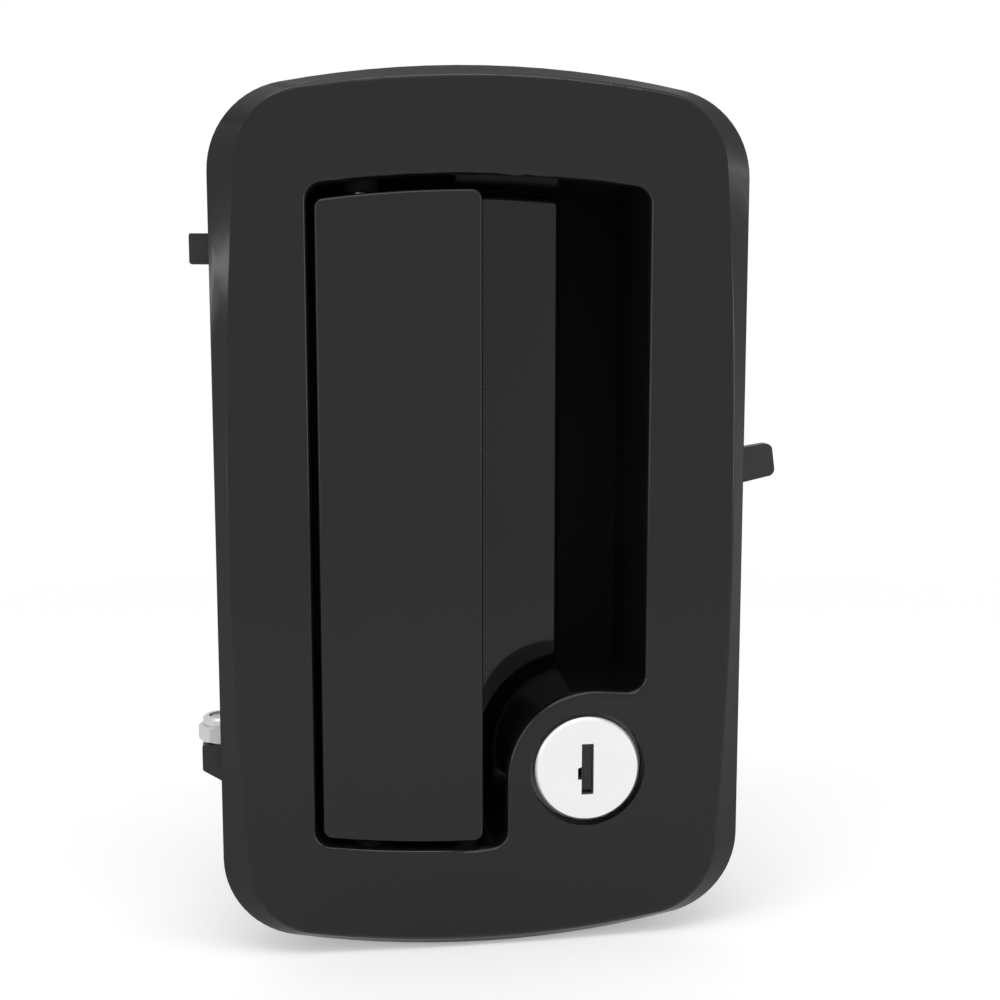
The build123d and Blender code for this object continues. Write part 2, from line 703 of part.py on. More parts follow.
with BuildPart() as lower_clamp:
    with BuildSketch(Plane.XY.offset(-CLAMP_Z - BLANK_MARGIN)):
        add(bar_profile())
        # solid lug on the left foot
        with Locations((-(CLAMP_END_X + CLAMP_STEP_X) / 2, DOOR_T + 3.75)):
            Rectangle(CLAMP_END_X - CLAMP_STEP_X, 7.5)
    extrude(amount=2 * BLANK_MARGIN)
    # ring round the lock barrel
    with BuildSketch(at_depth(CLAMP_Y)):
        with Locations((LOCK_X, LOCK_Z)):
            Circle(15.0)
    extrude(amount=-CLAMP_T)
    with BuildSketch(at_depth(0)) as blank:
        with Locations((0, -CLAMP_Z)):
            Rectangle(2 * CLAMP_STEP_X + 2.0, 2 * CLAMP_HALF_W)
        with Locations((LOCK_X, LOCK_Z)):
            Circle(15.0)
        with BuildLine():
            Polyline(
                (-CLAMP_END_X, LUG_TOP), (-CLAMP_END_X, -52.5), (-49.0, -56.0), (49.0, -56.0),
                (CLAMP_END_X, -52.5), (CLAMP_END_X, LUG_TOP), close=True,
            )
        make_face()
        fillet([v for v in blank.vertices() if abs(v.X) > CLAMP_END_X - 1], radius=0.5)
        with Locations((-PILLAR_X, -CLAMP_Z), (PILLAR_X, -CLAMP_Z)):
            Circle(CLAMP_SCREW_R + 0.2, mode=Mode.SUBTRACT)
        with Locations((LOCK_X, LOCK_Z)):
            Circle(BARREL_R + 0.6, mode=Mode.SUBTRACT)
    extrude(amount=-40.0, mode=Mode.INTERSECT)
    with BuildSketch(Plane.XY.offset(LUG_TOP)):
        with Locations((LUG_X, LUG_Y)):
            Circle(SCREW_R)
    extrude(amount=-5.5, mode=Mode.SUBTRACT)
write(lower_clamp.part, "lower_clamp")

with BuildPart() as anchor_stud:
    with BuildSketch(Plane.XY.offset(LUG_TOP - 5.5)):
        with Locations((LUG_X, LUG_Y)):
            Circle(SCREW_R)
    extrude(amount=5.5 + NUT_H - 0.3)
    chamfer(anchor_stud.edges().sort_by(Axis.Z)[-1], length=0.4)
write(anchor_stud.part, "anchor_stud")

write(lock_nut().moved(Location((LUG_X, LUG_Y, LUG_TOP))), "anchor_nut")

with BuildPart() as clamp_washers:
    with BuildSketch(at_depth(CLAMP_Y + CLAMP_T)):
        with Locations(*PILLARS):
            Circle(CLAMP_WASHER_R)
            Circle(CLAMP_SCREW_R + 0.15, mode=Mode.SUBTRACT)
    extrude(amount=-CLAMP_WASHER_T)
write(clamp_washers.part, "clamp_washers")

with BuildPart() as clamp_screws:
    head_y = CLAMP_Y + CLAMP_T + CLAMP_WASHER_T
    with BuildSketch(at_depth(head_y)):
        with Locations(*PILLARS):
            Circle(CLAMP_SCREW_HEAD_R)
    extrude(amount=-2.4)
    fillet(clamp_screws.faces().filter_by(Axis.Y).group_by(Axis.Y)[-1].edges(), radius=1.0)
    with BuildSketch(at_depth(head_y + 2.4)):
        with Locations(*PILLARS):
            RegularPolygon(1.4, 6)
    extrude(amount=1.4, mode=Mode.SUBTRACT)
    # shank as a clearance in the bar and a thread in the pillar
    with BuildSketch(at_depth(head_y)):
        with Locations(*PILLARS):
            Circle(PILOT_R)
    extrude(amount=head_y - PILLAR_END_Y + 12.0)
write(clamp_screws.part, "clamp_screws")

# ---------------------------------------------------------------- lock

CLIP_R = 8.4

with BuildPart() as lock_barrel:
    with BuildSketch(at_depth(LOCK_HEAD_REAR_Y + 0.05)):
        with Locations((LOCK_X, LOCK_Z)):
            Circle(LOCK_BORE_R - 0.1)
    extrude(amount=-(BARREL_FLANGE_REAR_Y - LOCK_HEAD_REAR_Y - 0.05))
    with BuildSketch(at_depth(BARREL_FLANGE_REAR_Y)):
        with Locations((LOCK_X, LOCK_Z)):
            Circle(BARREL_R)
    extrude(amount=-(BARREL_END_Y - BARREL_FLANGE_REAR_Y))
    # groove for the clip
    with BuildSketch(at_depth(TUBE_END_Y + 0.15)):
        with Locations((LOCK_X, LOCK_Z)):
            Circle(BARREL_R + 1.0)
            Circle(CLIP_R - 0.05, mode=Mode.SUBTRACT)
    extrude(amount=-1.3, mode=Mode.SUBTRACT)
    with Locations(into_door(LOCK_X, LOCK_HEAD_REAR_Y, LOCK_Z)):
        Hole(PLUG_R + 0.06, depth=60.0)
write(lock_barrel.part, "lock_barrel")

with BuildPart() as lock_clip:
    with BuildSketch(at_depth(TUBE_END_Y + 0.2)) as clip:
        with Locations((LOCK_X, LOCK_Z)):
            Circle(12.4)
            Circle(CLIP_R, mode=Mode.SUBTRACT)
        with Locations((LOCK_X, LOCK_Z - 10.0)):
            Rectangle(11.0, 12.0, mode=Mode.SUBTRACT)
        fillet(clip.vertices(), radius=1.0)
    extrude(amount=-1.2)
write(lock_clip.part, "lock_clip")

SHUTTER_AXIS_Y = FACE_Y + 1.4
SHUTTER_AXIS_Z = LOCK_Z + 4.5
SHUTTER_H = 9.2
TRUNNION_R = 0.28

with BuildPart() as lock_plug:
    with BuildSketch(at_depth(LOCK_HEAD_REAR_Y)):
        with Locations((LOCK_X, LOCK_Z)):
            Circle(LOCK_FACE_R)
    extrude(amount=LOCK_HEAD_REAR_Y - FACE_Y)
    chamfer(lock_plug.faces().sort_by(Axis.Y)[0].edges(), length=0.5)
    with BuildSketch(at_depth(LOCK_HEAD_REAR_Y)):
        with Locations((LOCK_X, LOCK_Z)):
            Circle(PLUG_R)
    extrude(amount=-(BARREL_END_Y - LOCK_HEAD_REAR_Y))
    with BuildSketch(at_depth(BARREL_END_Y)):
        with Locations((LOCK_X, LOCK_Z)):
            Rectangle(7.0, 7.0, rotation=CAM_ANGLE)
    extrude(amount=-(CAM_Y + CAM_T - BARREL_END_Y))
    # keyway with a ward groove on its left
    with BuildSketch(at_depth(FACE_Y)) as keyway:
        with Locations((LOCK_X, LOCK_Z)):
            Rectangle(KEYWAY_W, KEYWAY_H)
        with BuildLine():
            Polyline(
                (LOCK_X, LOCK_Z + 0.9), (LOCK_X - 1.9, LOCK_Z + 0.2),
                (LOCK_X - 1.9, LOCK_Z - 2.0), (LOCK_X, LOCK_Z - 2.0), close=True,
            )
        make_face()
    extrude(amount=-24.0, mode=Mode.SUBTRACT)
    # cross hole for the trunnions of the shutter
    with BuildSketch(Plane.YZ.offset(LOCK_X - 1.75)):
        with Locations((SHUTTER_AXIS_Y, SHUTTER_AXIS_Z)):
            Circle(TRUNNION_R + 0.05)
    extrude(amount=3.5, mode=Mode.SUBTRACT)
    # thread for the cam screw
    with BuildSketch(at_depth(CAM_Y + CAM_T)):
        with Locations((LOCK_X, LOCK_Z)):
            Circle(1.65)
    extrude(amount=6.0, mode=Mode.SUBTRACT)
write(lock_plug.part, "lock_plug")

with BuildPart() as lock_shutter:
    with BuildSketch(at_depth(SHUTTER_AXIS_Y + SHUTTER_T / 2)):
        with Locations((LOCK_X, SHUTTER_AXIS_Z + 0.3 - SHUTTER_H / 2)):
            Rectangle(KEYWAY_W - 0.3, SHUTTER_H)
    extrude(amount=SHUTTER_T)
    with BuildSketch(Plane.YZ.offset(LOCK_X - 1.65)):
        with Locations((SHUTTER_AXIS_Y, SHUTTER_AXIS_Z)):
            Circle(TRUNNION_R)
    extrude(amount=3.3)
write(lock_shutter.part, "lock_shutter")

with BuildPart() as lock_cam:
    with BuildSketch(at_depth(CAM_Y)) as blank:
        with Locations((LOCK_X, LOCK_Z)):
            Circle(7.5)
        with Locations(
            Location((LOCK_X, LOCK_Z), CAM_ANGLE) * Location(((CAM_LENGTH - CAM_TIP_R) / 2, 0))
        ):
            SlotOverall(CAM_LENGTH + CAM_TIP_R, 2 * CAM_TIP_R)
        with Locations((LOCK_X, LOCK_Z)):
            Rectangle(7.1, 7.1, rotation=CAM_ANGLE, mode=Mode.SUBTRACT)
    extrude(amount=-CAM_T)
write(lock_cam.part, "lock_cam")

with BuildPart() as cam_washer:
    with BuildSketch(at_depth(CAM_Y + CAM_T)):
        with Locations((LOCK_X, LOCK_Z)):
            Circle(6.0)
            Circle(2.1, mode=Mode.SUBTRACT)
    extrude(amount=-1.0)
write(cam_washer.part, "cam_washer")

with BuildPart() as cam_screw:
    with BuildSketch(at_depth(CAM_Y + CAM_T + 1.0)):
        with Locations((LOCK_X, LOCK_Z)):
            Circle(3.8)
    extrude(amount=-2.4)
    fillet(cam_screw.faces().sort_by(Axis.Y)[-1].edges(), radius=1.0)
    with BuildSketch(at_depth(CAM_Y + CAM_T + 3.4)):
        with Locations((LOCK_X, LOCK_Z)):
            RegularPolygon(1.4, 6)
    extrude(amount=1.4, mode=Mode.SUBTRACT)
    with BuildSketch(at_depth(CAM_Y + CAM_T + 1.0)):
        with Locations((LOCK_X, LOCK_Z)):
            Circle(1.65)
    extrude(amount=6.5)
write(cam_screw.part, "cam_screw")
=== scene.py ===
import math

import bpy
from bpy.props import FloatProperty, FloatVectorProperty, IntProperty, PointerProperty
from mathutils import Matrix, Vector


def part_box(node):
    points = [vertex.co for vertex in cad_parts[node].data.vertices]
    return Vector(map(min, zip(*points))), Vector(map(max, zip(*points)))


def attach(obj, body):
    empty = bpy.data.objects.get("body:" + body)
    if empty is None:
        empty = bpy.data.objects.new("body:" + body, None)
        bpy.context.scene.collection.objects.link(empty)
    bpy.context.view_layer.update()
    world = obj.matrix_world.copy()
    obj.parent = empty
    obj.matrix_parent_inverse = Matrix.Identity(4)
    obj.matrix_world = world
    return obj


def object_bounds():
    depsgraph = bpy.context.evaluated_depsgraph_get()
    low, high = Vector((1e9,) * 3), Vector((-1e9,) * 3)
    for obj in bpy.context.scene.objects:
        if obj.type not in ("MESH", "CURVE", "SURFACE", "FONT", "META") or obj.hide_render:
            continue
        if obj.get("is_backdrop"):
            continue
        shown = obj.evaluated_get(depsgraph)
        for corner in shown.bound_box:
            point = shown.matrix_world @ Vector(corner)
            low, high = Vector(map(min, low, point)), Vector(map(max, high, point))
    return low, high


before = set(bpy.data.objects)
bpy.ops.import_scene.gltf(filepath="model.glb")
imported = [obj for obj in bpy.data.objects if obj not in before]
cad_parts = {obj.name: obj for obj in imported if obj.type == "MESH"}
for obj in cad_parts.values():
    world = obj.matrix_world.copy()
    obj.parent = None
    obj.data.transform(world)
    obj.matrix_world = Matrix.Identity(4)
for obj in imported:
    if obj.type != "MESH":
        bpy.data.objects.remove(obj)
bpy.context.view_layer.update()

bl_info = {
    "name": "Paddle latch",
    "version": (1, 0, 0),
    "blender": (4, 5, 0),
    "location": "View3D > Sidebar > Latch",
    "description": "Finishes, small hardware and studio for a flush paddle latch",
    "category": "Object",
}

MM = 0.001

# painted shade: the mouldings turn a darker, dull, barely reflective black on the recess floor and at the
# two ends of the hinge gap, where shade falls
PAINTED_SHADE_FLOOR_Y = 0.0205
HINGE_GAP_X = (-0.0335, -0.018)
HINGE_GAP_Y = -0.0019
HINGE_GAP_Z = (0.0585, 0.0655)

# small hardware
WASHER_RADIUS = 4.5 * MM
TOOTH_WIDTH = 1.0 * MM
TOOTH_OFFSET = 0.02 * MM
TOOTH_THICKNESS = 0.8  # share of the washer's own thickness
THREAD_WIRE = 0.14 * MM
THREAD_START = 0.15 * MM
THREAD_END_GAP = 0.5 * MM
NUT_RING_WIRE = 0.32 * MM
NUT_RING_GAP = 0.08 * MM
NUT_RING_SINK = 0.9  # share of the wire's radius that the ring's middle lies below the collar
STEPS_PER_TURN = 48
WIRE_SIDES = 12

# studio
FLOOR_HALF = 3.0
FLOOR_DROP = 0.0001
FLOOR_LIFT = 0.26
FADE_START = 0.22
FADE_RATE = 4.0


# ---------------------------------------------------------------- shader expressions


class Wire:
    """An output socket of a shader tree that takes part in arithmetic."""

    def __init__(self, tree, socket):
        self.tree = tree
        self.socket = socket

    def _maths(self, operation, first, second=0.0):
        return self.tree.node("ShaderNodeMath", {"operation": operation}, {0: first, 1: second})

    def __add__(self, other):
        return self._maths("ADD", self, other)

    def __radd__(self, other):
        return self._maths("ADD", other, self)

    def __sub__(self, other):
        return self._maths("SUBTRACT", self, other)

    def __rsub__(self, other):
        return self._maths("SUBTRACT", other, self)

    def __mul__(self, other):
        return self._maths("MULTIPLY", self, other)

    def __rmul__(self, other):
        return self._maths("MULTIPLY", other, self)

    def __gt__(self, other):
        return self._maths("GREATER_THAN", self, other)

    def clamped(self):
        return self._maths("MINIMUM", self._maths("MAXIMUM", self, 0.0), 1.0)


class Tree:
    """Builds one node tree, for a material or a world."""

    def __init__(self, owner):
        owner.use_nodes = True
        self.nodes = owner.node_tree.nodes
        self.links = owner.node_tree.links
        self.nodes.clear()

    def node(self, kind, settings=None, inputs=None, output=0):
        made = self.nodes.new(kind)
        for name, value in (settings or {}).items():
            setattr(made, name, value)
        for name, value in (inputs or {}).items():
            if isinstance(value, Wire):
                self.links.new(value.socket, made.inputs[name])
            else:
                made.inputs[name].default_value = value
        return Wire(self, made.outputs[output]) if len(made.outputs) else None

    def place(self):
        return self.node("ShaderNodeTexCoord", output="Object")

    def axis(self, name):
        return self.node("ShaderNodeSeparateXYZ", inputs={0: self.place()}, output=name)

    def noise(self, scale, detail=3.0, stretch=None):
        where = self.place()
        if stretch:
            where = self.node("ShaderNodeMapping", inputs={"Vector": where, "Scale": stretch})
        return self.node(
            "ShaderNodeTexNoise", inputs={"Vector": where, "Scale": scale, "Detail": detail}
        )

    def mix(self, amount, first, second):
        return self.node(
            "ShaderNodeMix", {"data_type": "RGBA"}, {0: amount, 6: first, 7: second}, output=2
        )

    def bump(self, height, distance, strength=1.0):
        inputs = {"Height": height, "Distance": distance, "Strength": strength}
        return self.node("ShaderNodeBump", inputs=inputs)

    def principled(self, **inputs):
        named = {name.replace("_", " "): value for name, value in inputs.items()}
        return self.node("ShaderNodeBsdfPrincipled", inputs=named)

    def surface(self, shader):
        self.node("ShaderNodeOutputMaterial", inputs={"Surface": shader})


def colour(red, green=None, blue=None):
    if green is None:
        green = blue = red
    return (red, green, blue, 1.0)


def new_material(name):
    made = bpy.data.materials.new(name)
    return made, Tree(made)


# ---------------------------------------------------------------- finishes


def gloss_moulding(name, finish, roughness, grain):
    """Glossy black moulding with a faint orange peel, and painted shade: a darker dull black on the recess
    floor and at the hinge-gap ends.
    """
    made, tree = new_material(name)
    black = finish.moulding_colour
    cloud = tree.noise(45.0, 2.0)
    speck = tree.noise(2600.0, 2.0)
    lighter = colour(black[0] * 1.5, black[1] * 1.5, black[2] * 1.55)
    tone = tree.mix(cloud, colour(*black), lighter)
    peel = tree.bump(speck * grain + tree.noise(420.0, 1.0), 0.000008, 0.3)
    shell = tree.principled(
        Base_Color=tone,
        Roughness=roughness + cloud * 0.05 + speck * 0.03,
        Specular_IOR_Level=finish.moulding_gloss,
        Normal=peel,
    )
    # painted shade: a darker, near-matte black that stands in for the shade on the recess floor and in the
    # hinge-gap ends
    grit = tree.bump(tree.noise(1500.0, 4.0), 0.00003, 0.6)
    painted_shade = tree.principled(
        Base_Color=tree.mix(speck, colour(0.0030), colour(0.0052)),
        Roughness=0.85 + speck * 0.1,
        Specular_IOR_Level=0.06,
        Normal=grit,
    )
    # mask of the painted shade: deeper than the plate in the recess, or inside the hinge-gap ends
    depth = tree.axis("Y")
    height = tree.node("ShaderNodeMath", {"operation": "ABSOLUTE"}, {0: tree.axis("Z")})
    side = tree.axis("X")
    band = (height > HINGE_GAP_Z[0]) * (HINGE_GAP_Z[1] - height > 0.0)
    across = (side > HINGE_GAP_X[0]) * (HINGE_GAP_X[1] - side > 0.0)
    hinge_ends = band * (depth > HINGE_GAP_Y) * across
    painted_shade_mask = ((depth > PAINTED_SHADE_FLOOR_Y) + hinge_ends).clamped()
    tree.surface(tree.node("ShaderNodeMixShader", inputs={0: painted_shade_mask, 1: shell, 2: painted_shade}))
    return made


def coated_steel(name, finish):
    """Black coated stamping: slight texture, thinner and greyer where it rubs."""
    made, tree = new_material(name)
    patch = tree.noise(160.0, 5.0)
    rub = ((patch - 0.62) * 6.0).clamped()
    fine = tree.noise(3000.0, 2.0)
    made_colour = tree.mix(rub, colour(*finish.coat_colour), colour(0.055, 0.055, 0.058))
    tree.surface(
        tree.principled(
            Base_Color=made_colour,
            Roughness=0.42 + fine * 0.12 - rub * 0.08,
            Specular_IOR_Level=0.5,
            Normal=tree.bump(fine + patch * 0.6, 0.00002, 0.5),
        )
    )
    return made


def zinc_plate(name, base=0.62, roughness=0.3, stretch=(1.0, 1.0, 1.0)):
    """Bright zinc plate with turning marks and faint clouding."""
    made, tree = new_material(name)
    cloud = tree.noise(260.0, 3.0)
    marks = tree.noise(1800.0, 2.0, stretch)
    cool = colour(base, base, base * 1.02)
    dark = colour(base * 0.78, base * 0.78, base * 0.77)
    tree.surface(
        tree.principled(
            Base_Color=tree.mix((cloud - 0.3) * 1.5, dark, cool),
            Metallic=1.0,
            Roughness=roughness + cloud * 0.12 + marks * 0.06,
            Normal=tree.bump(marks, 0.00001, 0.4),
        )
    )
    return made


def satin_chrome(name, finish):
    """Satin lock face, brushed to a very fine even grain."""
    made, tree = new_material(name)
    grain = tree.noise(5200.0, 2.0)
    cloud = tree.noise(140.0, 2.0)
    face = finish.lock_colour
    low = colour(face[0] * 0.94, face[1] * 0.94, face[2] * 0.94)
    tree.surface(
        tree.principled(
            Base_Color=tree.mix(cloud, low, colour(*face)),
            Metallic=1.0,
            Roughness=0.34 + grain * 0.1,
            Normal=tree.bump(grain, 0.000006, 0.4),
        )
    )
    return made


def die_cast(name):
    """As-cast zinc alloy, dull grey and slightly pitted."""
    made, tree = new_material(name)
    cells = tree.noise(900.0, 5.0)
    stain = tree.noise(120.0, 3.0)
    tree.surface(
        tree.principled(
            Base_Color=tree.mix(stain, colour(0.19, 0.19, 0.2), colour(0.33, 0.33, 0.34)),
            Metallic=0.85,
            Roughness=0.48 + cells * 0.2,
            Normal=tree.bump(cells, 0.00004, 0.5),
        )
    )
    return made


def soft_rubber(name, pore):
    """Black rubber with fine pores and a dusty bloom."""
    made, tree = new_material(name)
    pores = tree.noise(pore, 4.0)
    bloom = tree.noise(90.0, 3.0)
    tree.surface(
        tree.principled(
            Base_Color=tree.mix(bloom, colour(0.010), colour(0.024)),
            Roughness=0.78 + pores * 0.15,
            Specular_IOR_Level=0.3,
            Normal=tree.bump(pores, 0.00006, 0.7),
        )
    )
    return made


def nylon(name):
    """Natural nylon of the lock nuts' rings, faintly waxy."""
    made, tree = new_material(name)
    haze = tree.noise(700.0, 3.0)
    tree.surface(
        tree.principled(
            Base_Color=tree.mix(haze, colour(0.66, 0.66, 0.63), colour(0.78, 0.78, 0.76)),
            Roughness=0.4 + haze * 0.15,
            Normal=tree.bump(haze, 0.00001, 0.3),
        )
    )
    return made


def dress(material, *nodes):
    for node in nodes:
        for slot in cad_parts[node].material_slots:
            slot.material = material


# ---------------------------------------------------------------- geometry nodes


def new_group(name, inputs):
    """Geometry tree with a geometry input, named size inputs and one geometry output."""
    group = bpy.data.node_groups.new(name, "GeometryNodeTree")
    group.interface.new_socket("Geometry", in_out="INPUT", socket_type="NodeSocketGeometry")
    for label, kind in inputs:
        group.interface.new_socket(label, in_out="INPUT", socket_type=kind)
    group.interface.new_socket("Geometry", in_out="OUTPUT", socket_type="NodeSocketGeometry")
    return group


def add_node(group, kind, inputs, settings=None):
    made = group.nodes.new(kind)
    for name, value in (settings or {}).items():
        setattr(made, name, value)
    for name, value in inputs.items():
        if isinstance(value, bpy.types.NodeSocket):
            group.links.new(value, made.inputs[name])
        else:
            made.inputs[name].default_value = value
    return made


def close_group(group, geometry):
    realized = add_node(group, "GeometryNodeRealizeInstances", {0: geometry})
    finish = add_node(
        group,
        "GeometryNodeSetMaterial",
        {"Geometry": realized.outputs[0], "Material": group.nodes["Group Input"].outputs["Finish"]},
    )
    add_node(group, "NodeGroupOutput", {0: finish.outputs[0]})


FINISH_INPUT = ("Finish", "NodeSocketMaterial")


def tooth_rings_group():
    """A ring of short teeth round every point of the incoming mesh."""
    sizes = [
        ("Radius", "NodeSocketFloat"),
        ("Teeth", "NodeSocketInt"),
        ("Tooth Size", "NodeSocketVector"),
        FINISH_INPUT,
    ]
    group = new_group("Tooth rings", sizes)
    source = group.nodes.new("NodeGroupInput")
    ring = add_node(
        group,
        "GeometryNodeMeshCircle",
        {"Vertices": source.outputs["Teeth"], "Radius": source.outputs["Radius"]},
    )
    tooth = add_node(group, "GeometryNodeMeshCube", {"Size": source.outputs["Tooth Size"]})
    outward = add_node(group, "GeometryNodeInputPosition", {})
    turn = add_node(
        group, "FunctionNodeAlignRotationToVector", {"Vector": outward.outputs[0]}, {"axis": "X"}
    )
    teeth = add_node(
        group,
        "GeometryNodeInstanceOnPoints",
        {"Points": ring.outputs[0], "Instance": tooth.outputs[0], "Rotation": turn.outputs[0]},
    )
    upright = add_node(
        group,
        "GeometryNodeTransform",
        {"Geometry": teeth.outputs[0], "Rotation": (math.radians(90), 0, 0)},
    )
    placed = add_node(
        group,
        "GeometryNodeInstanceOnPoints",
        {"Points": source.outputs["Geometry"], "Instance": upright.outputs[0]},
    )
    close_group(group, placed.outputs[0])
    return group


def wound_wire_group():
    """A wire wound on a cylinder: several turns make a thread, one flat turn a ring."""
    sizes = [
        ("Radius", "NodeSocketFloat"),
        ("Wire Radius", "NodeSocketFloat"),
        ("Turns", "NodeSocketFloat"),
        ("Height", "NodeSocketFloat"),
        ("Rotation", "NodeSocketVector"),
        FINISH_INPUT,
    ]
    group = new_group("Wound wire", sizes)
    source = group.nodes.new("NodeGroupInput")
    path = add_node(
        group,
        "GeometryNodeCurveSpiral",
        {
            "Resolution": STEPS_PER_TURN,
            "Rotations": source.outputs["Turns"],
            "Start Radius": source.outputs["Radius"],
            "End Radius": source.outputs["Radius"],
            "Height": source.outputs["Height"],
        },
    )
    section = add_node(
        group,
        "GeometryNodeCurvePrimitiveCircle",
        {"Resolution": WIRE_SIDES, "Radius": source.outputs["Wire Radius"]},
    )
    wire = add_node(
        group,
        "GeometryNodeCurveToMesh",
        {"Curve": path.outputs[0], "Profile Curve": section.outputs[0], "Fill Caps": True},
    )
    turned = add_node(
        group,
        "GeometryNodeTransform",
        {"Geometry": wire.outputs[0], "Rotation": source.outputs["Rotation"]},
    )
    placed = add_node(
        group,
        "GeometryNodeInstanceOnPoints",
        {"Points": source.outputs["Geometry"], "Instance": turned.outputs[0]},
    )
    close_group(group, placed.outputs[0])
    return group


def grow(name, group, points, values, body):
    """Runs a geometry tree on points and keeps the result as a plain mesh on a body."""
    seed = bpy.data.meshes.new(name + "_points")
    seed.from_pydata([tuple(point) for point in points], [], [])
    carrier = bpy.data.objects.new(name + "_carrier", seed)
    bpy.context.scene.collection.objects.link(carrier)
    modifier = carrier.modifiers.new(name, "NODES")
    modifier.node_group = group
    for item in group.interface.items_tree:
        if item.in_out == "INPUT" and item.name in values:
            modifier[item.identifier] = values[item.name]
    bpy.context.view_layer.update()
    graph = bpy.context.evaluated_depsgraph_get()
    mesh = bpy.data.meshes.new_from_object(carrier.evaluated_get(graph), depsgraph=graph)
    if len(mesh.vertices) == 0:
        raise RuntimeError("the geometry tree for " + name + " made nothing")
    bpy.data.objects.remove(carrier)
    piece = bpy.data.objects.new(name, mesh)
    bpy.context.scene.collection.objects.link(piece)
    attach(piece, body)


def middle(node):
    low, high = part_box(node)
    return (Vector(low) + Vector(high)) / 2


# ---------------------------------------------------------------- settings


class LatchFinish(bpy.types.PropertyGroup):
    """Colours and gloss of the latch."""

    moulding_colour: FloatVectorProperty(
        name="Moulding", description="Black of the mouldings", subtype="COLOR",
        default=(0.0045, 0.0045, 0.0047), min=0, max=1,
    )
    moulding_gloss: FloatProperty(
        name="Moulding gloss", description="Specular level of the mouldings", default=0.32, min=0, max=1
    )
    coat_colour: FloatVectorProperty(
        name="Coat", description="Black coat of the steel parts", subtype="COLOR",
        default=(0.012, 0.012, 0.0125), min=0, max=1,
    )
    lock_colour: FloatVectorProperty(
        name="Lock face", description="Satin plate of the lock", subtype="COLOR",
        default=(0.86, 0.86, 0.87), min=0, max=1,
    )


class LatchHardware(bpy.types.PropertyGroup):
    """Sizes of the small hardware."""

    teeth: IntProperty(name="Washer teeth", description="Teeth round each lock washer", default=14, min=6)
    tooth_reach: FloatProperty(
        name="Tooth reach", description="Length of a washer tooth", default=0.9 * MM, unit="LENGTH"
    )
    thread_pitch: FloatProperty(
        name="Thread pitch", description="Pitch of the M5 threads", default=0.8 * MM, unit="LENGTH"
    )
    thread_radius: FloatProperty(
        name="Thread radius", description="Outer radius of the M5 threads", default=2.5 * MM, unit="LENGTH"
    )


class LatchStudio(bpy.types.PropertyGroup):
    """Camera, lamps and floor."""

    lens: FloatProperty(name="Lens", description="Focal length of the camera in mm", default=52.59)
    camera_place: FloatVectorProperty(
        name="Camera place", description="Where the camera stands", subtype="TRANSLATION",
        default=(-0.03714, -0.26999, 0.03884), unit="LENGTH",
    )
    camera_aim: FloatVectorProperty(
        name="Camera aim", description="Direction the camera looks in", default=(0.1451, 0.9811, -0.1280),
    )
    fill: FloatProperty(name="Fill", description="Strength of the light from all round", default=0.62, min=0)
    key_power: FloatProperty(
        name="Key power", description="Power of the large lamp above", default=1.4, unit="POWER"
    )
    side_power: FloatProperty(
        name="Side power", description="Power of each narrow strip lamp", default=0.75, unit="POWER"
    )
    floor_colour: FloatVectorProperty(
        name="Floor", description="Pale floor", subtype="COLOR", default=(0.92, 0.92, 0.92), min=0, max=1
    )


# ---------------------------------------------------------------- operators


class LATCH_OT_mouldings(bpy.types.Operator):
    """Finish the bezel, the pull pad and the plate in the recess"""

    bl_idname = "latch.mouldings"
    bl_label = "Mouldings"

    def execute(self, context):
        finish = context.scene.latch_finish
        dress(gloss_moulding("bezel_gloss", finish, 0.1, 0.5), "pan")
        dress(gloss_moulding("pad_gloss", finish, 0.12, 0.4), "paddle")
        dress(gloss_moulding("plate_gloss", finish, 0.02, 0.15), "pocket_plate")
        return {"FINISHED"}


class LATCH_OT_coated_steel(bpy.types.Operator):
    """Finish the clamp bars and the release lever"""

    bl_idname = "latch.coated_steel"
    bl_label = "Coated steel"

    def execute(self, context):
        finish = context.scene.latch_finish
        dress(coated_steel("clamp_coat", finish), "upper_clamp", "lower_clamp")
        dress(coated_steel("lever_coat", finish), "release_lever")
        return {"FINISHED"}


class LATCH_OT_bright_hardware(bpy.types.Operator):
    """Finish the screws, nuts, washers, pins and springs"""

    bl_idname = "latch.bright_hardware"
    bl_label = "Bright hardware"

    def execute(self, context):
        dress(zinc_plate("zinc_nuts", 0.66, 0.26), "anchor_nut", "pivot_nut")
        dress(zinc_plate("zinc_screws", 0.6, 0.3), "clamp_screws", "pivot_screw", "cam_screw")
        dress(zinc_plate("zinc_washers", 0.58, 0.34), "clamp_washers", "pivot_washer", "cam_washer")
        dress(zinc_plate("turned_steel", 0.5, 0.32, (1.0, 1.0, 0.05)), "hinge_pin", "anchor_stud")
        dress(zinc_plate("turned_bush", 0.5, 0.32, (1.0, 0.05, 1.0)), "pivot_bush")
        dress(zinc_plate("spring_wire", 0.42, 0.28), "paddle_spring", "lever_spring", "lock_clip")
        return {"FINISHED"}


class LATCH_OT_lock(bpy.types.Operator):
    """Finish the lock face, its shutter, the barrel and the cam"""

    bl_idname = "latch.lock"
    bl_label = "Lock"

    def execute(self, context):
        finish = context.scene.latch_finish
        dress(satin_chrome("lock_face", finish), "lock_plug")
        dress(zinc_plate("shutter_steel", 0.05, 0.4), "lock_shutter")
        dress(die_cast("barrel_casting"), "lock_barrel")
        dress(zinc_plate("cam_plate", 0.56, 0.3, (1.0, 1.0, 0.2)), "lock_cam")
        return {"FINISHED"}


class LATCH_OT_rubber(bpy.types.Operator):
    """Finish the gasket and the rubber buttons"""

    bl_idname = "latch.rubber"
    bl_label = "Rubber"

    def execute(self, context):
        dress(soft_rubber("gasket_foam", 1400.0), "gasket")
        dress(soft_rubber("button_rubber", 2600.0), "bumpers")
        return {"FINISHED"}


